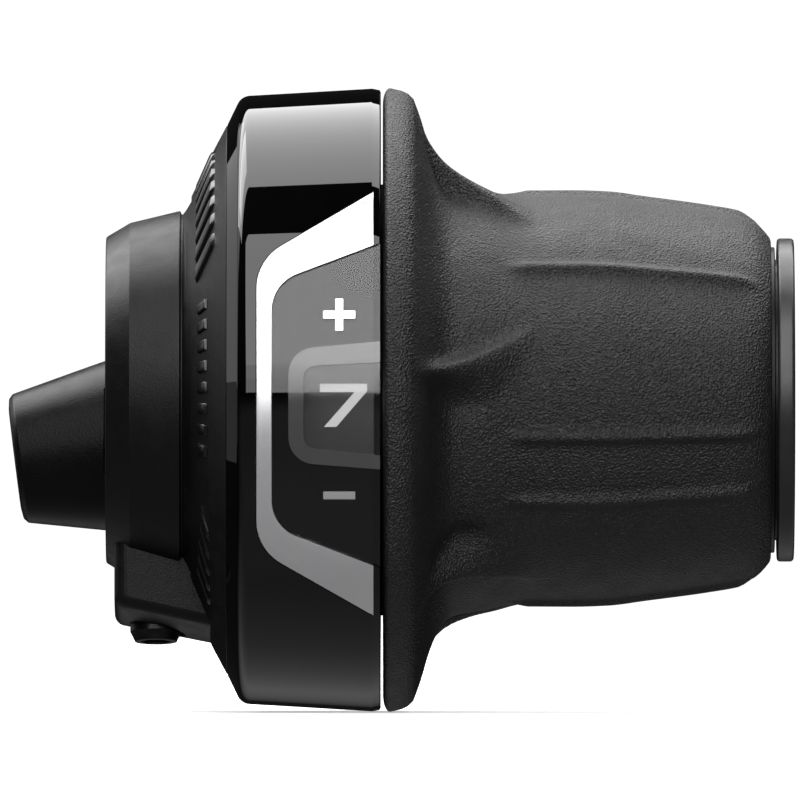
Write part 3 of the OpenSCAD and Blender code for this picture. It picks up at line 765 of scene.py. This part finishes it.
def core():
    """Hard core: a collar in the seam beside the cover, a flange inside the rubber's, then a plain tube."""
    seam, flange, end = grip_x0 - 0.25, grip_x0 + 0.1, grip_x1 - 1.2
    profile = [(core_x0, 12.8), (core_x0, 15), (seam, 15), (seam, 19.6), (flange, 19.6), (flange, 26)]
    profile += [(flange + 1.3, 26), (flange + 1.3, 15), (end, 15), (end, 13.9)]
    profile += [(core_x1, 13.9), (core_x1, 12.8)]
    return lathe("turning_core", rounded(profile, 0.12, 3), 256)


def washer():
    profile = [(washer_x0, sleeve_r), (washer_x0, washer_r), (washer_x1, washer_r), (washer_x1, sleeve_r)]
    return lathe("retaining_washer", rounded(profile, [0.05, 0.3, 0.34, 0.1], 5), 256)


finish_piece(sleeve(), sleeve_nylon, "sleeve_nylon", HOUSING, "inner_sleeve")
finish_piece(washer(), washer_grey, "black_nylon", HOUSING, "end_washer")
finish_piece(core(), black_nylon, "black_nylon", GRIP, "grip_core")

# ---- rubber grip ----

PAIR_ANGLES = (-20, 100, 220)
PAIR_HALF = 9.5
SINGLE_ANGLES = (40, 160, 280)
TURNS = 600

# Radius in the hollows between the fins, and along the crest of a fin
HOLLOW = [(23.4, 27.35), (24.1, 25.4), (24.8, 23.0), (25.5, 21.3), (26.2, 20.25), (26.8, 19.75), (27.5, 19.5),
          (28.7, 19.3), (29.9, 19.1), (31.4, 18.75), (33, 18.58), (38, 18.6), (41, 18.5), (44.5, 18.05),
          (50.3, 17.25), (53.2, 16.7), (54.4, 16.15)]
CREST = [(23.4, 27.35), (24.1, 25.95), (24.8, 24.4), (26.3, 22.5), (28.5, 21.1), (31, 20.0), (32.5, 19.3),
         (34.5, 18.57)]


def grip_radius(x, angle):
    """Radius of the rubber at x, for an array of angles: body, fins and ribs. A fin is broad on its side
    towards the middle of its pair, with a dip beyond, and narrow on the other."""
    hollow = curve_through(HOLLOW, np.array([x]))[0]
    radius = np.full_like(angle, hollow)
    if 23.4 < x < 34.5:
        rise = curve_through(CREST, np.array([x]))[0] - hollow
        offset = 27.4 + 0.85 * (x - 26.4) + 0.085 * (x - 26.4) ** 2
        inner, outer = min(1.0 + 0.3 * max(x - 25.1, 0), 2.6), 0.9
        dip = 0.45 * math.exp(-(((x - 28) / 2.2) ** 2))
        for middle in PAIR_ANGLES:
            for side in (-1, 1):
                away = (angle - middle - side * offset + 180) % 360 - 180
                mm = side * np.radians(away) * hollow
                radius += rise * np.exp(-np.abs(mm / np.where(mm < 0, inner, outer)) ** 2.2)
                radius -= dip * np.exp(-(((mm + 1.6 + inner) / 1.1) ** 2))
    if 31.5 < x < 55:
        rib = 0.48 * min(1, (x - 31.5) / 2.2) * min(1, (55 - x) / 2.0)
        for middle in [a + s * PAIR_HALF for a in PAIR_ANGLES for s in (-1, 1)] + list(SINGLE_ANGLES):
            mm = np.radians((angle - middle + 180) % 360 - 180) * hollow
            radius += rib * np.exp(-(mm / 0.58) ** 2)
    return radius


def rubber():
    """Rubber sleeve: a rounded flange, the finned and ribbed body, and a short lip at the end."""
    angles = np.arange(TURNS) * 360 / TURNS
    flat = [(22.0, 26.0), (22.0, 15.0), (54.65, 15.0), (54.65, 13.9), (grip_x1, 13.9)]
    flange = [(grip_x0, 26.0)]
    for k in range(10):
        a = math.radians(90 * k / 9)
        flange.append((grip_x0 + 0.65 * (1 - math.cos(a)), flange_r - 1.5 * (1 - math.sin(a))))
    flange += [(22.3, 28.12), (22.9, 27.84)]
    end = [(grip_x1, 14.45), (grip_x1 - 0.1, 14.75), (55.4, 15.2), (54.9, 15.75)]
    rows = [(x, np.full(TURNS, r)) for x, r in flat + end]
    xs = np.concatenate([np.linspace(54.4, 35, 40), np.linspace(34.7, 23.4, 52)])
    rows += [(x, grip_radius(x, angles)) for x in xs]
    rows += [(x, np.full(TURNS, r)) for x, r in reversed(flange)]
    verts = []
    for x, radii in rows:
        verts += [at(x, a, r) for a, r in zip(angles, radii)]
    return build("grip_rubber_sleeve", verts, skin(len(rows), TURNS, True), 50)


finish_piece(rubber(), grip_rubber, "grip_rubber", GRIP, "rubber_grip")

# ---- floor and light ----


def panel(name, aim, low, high, left, right, radiance):
    """Soft light about a metre away. Its short side spans two elevations, measured in the upright plane
    that faces aim degrees round from the front, and its long side runs from left to right in metres."""
    turn = Matrix.Rotation(math.radians(aim), 3, "Z")
    a, b = (turn @ Vector((0, -math.cos(math.radians(e)), math.sin(math.radians(e)))) for e in (low, high))
    side = turn @ Vector((1, 0, 0))
    data = bpy.data.lights.new(name, "AREA")
    data.shape = "RECTANGLE"
    data.size, data.size_y = right - left, (a - b).length
    data.energy = radiance * math.pi * data.size * data.size_y
    light = bpy.data.objects.new(name, data)
    up = (b - a).normalized()
    light.location = (a + b) / 2 + side * (left + right) / 2 + Vector((view_x, 0, 0))
    light.rotation_euler = Matrix((side, up, side.cross(up))).transposed().to_euler()
    light.visible_camera = False
    bpy.context.scene.collection.objects.link(light)


panel("front_panel", 0, 13, 65, -0.5, 0.4, 4.0)
panel("front_panel_low", 0, 8, 13, -0.5, 0.4, 3.1)
panel("front_panel_foot", 0, 2.8, 8, -0.5, 0.4, 2.7)
panel("top_panel", 0, 87.5, 144, -1.3, 0.7, 4.2)
panel("top_left_panel", 0, 98, 128, -1.2, -0.3, 4.2)
panel("side_panel", -135, 22, 42, -0.28, 0.5, 1.2)
panel("side_panel_low", -135, 1.5, 22, -0.344, 0.45, 0.65)
panel("side_panel_foot", -135, -5, 1.5, -0.344, 0.45, 0.18)


def studio_world():
    """White behind the part, and a dim surround for what it reflects, lighter below and behind."""
    world = bpy.data.worlds.new("studio")
    bpy.context.scene.world = world
    world.use_nodes = True
    tree = world.node_tree
    tree.nodes.clear()
    new, link = tree.nodes.new, tree.links.new
    place = new("ShaderNodeTexCoord")
    split = new("ShaderNodeSeparateXYZ")
    link(place.outputs["Generated"], split.inputs[0])

    def ramp(axis, low, high, to_low, to_high):
        n = new("ShaderNodeMapRange")
        for i, value in enumerate((low, high, to_low, to_high), 1):
            n.inputs[i].default_value = value
        link(split.outputs[axis], n.inputs[0])
        return n.outputs[0]

    def product(a, b, extra):
        n = new("ShaderNodeMath")
        n.operation = "MULTIPLY_ADD"
        link(a, n.inputs[0])
        link(b, n.inputs[1])
        if isinstance(extra, float):
            n.inputs[2].default_value = extra
        else:
            link(extra, n.inputs[2])
        return n.outputs[0]

    front = product(ramp("Z", 0.02, -0.08, 0, 1), ramp("Y", 0.3, -0.4, 0, 0.15), 0.012)
    below = product(ramp("Z", -0.3, -0.62, 0, 1), ramp("Y", -0.3, 0.7, 0.05, 0.42), front)
    dim, white = new("ShaderNodeBackground"), new("ShaderNodeBackground")
    link(below, dim.inputs["Strength"])
    white.inputs["Strength"].default_value = 1.05
    path, mix, out = new("ShaderNodeLightPath"), new("ShaderNodeMixShader"), new("ShaderNodeOutputWorld")
    for background in (dim, white):
        background.inputs["Color"].default_value = (1, 1, 1, 1)
    link(path.outputs["Is Camera Ray"], mix.inputs[0])
    link(dim.outputs[0], mix.inputs[1])
    link(white.outputs[0], mix.inputs[2])
    link(mix.outputs[0], out.inputs[0])


studio_world()

FLOOR_HALF = 3000
corners = [(x * FLOOR_HALF, y * FLOOR_HALF, cad_low.z / MM) for x, y in ((-1, -1), (1, -1), (1, 1), (-1, 1))]
floor = build("floor", corners, [(0, 1, 2, 3)])
paint = Shader("floor_paint")
paint.colour(paint.noise(400, 3), (0.90, 0.90, 0.90), (0.93, 0.93, 0.93))
paint.bsdf.inputs["Roughness"].default_value = 0.9
paint.bsdf.inputs["Specular IOR Level"].default_value = 0.1
paint.bsdf.inputs["Emission Color"].default_value = (1, 1, 1, 1)
distance = paint.node("ShaderNodeVectorMath", operation="LENGTH")
paint.link(paint.place, distance.inputs[0])
glow = paint.ramp(distance.outputs["Value"], 0.08, 0.5, 0.45, 1.0)
paint.link(glow, paint.bsdf.inputs["Emission Strength"])
floor.data.materials.append(paint.material)
floor.visible_glossy = False
floor.visible_diffuse = False

bpy.context.scene.view_settings.view_transform = "Standard"
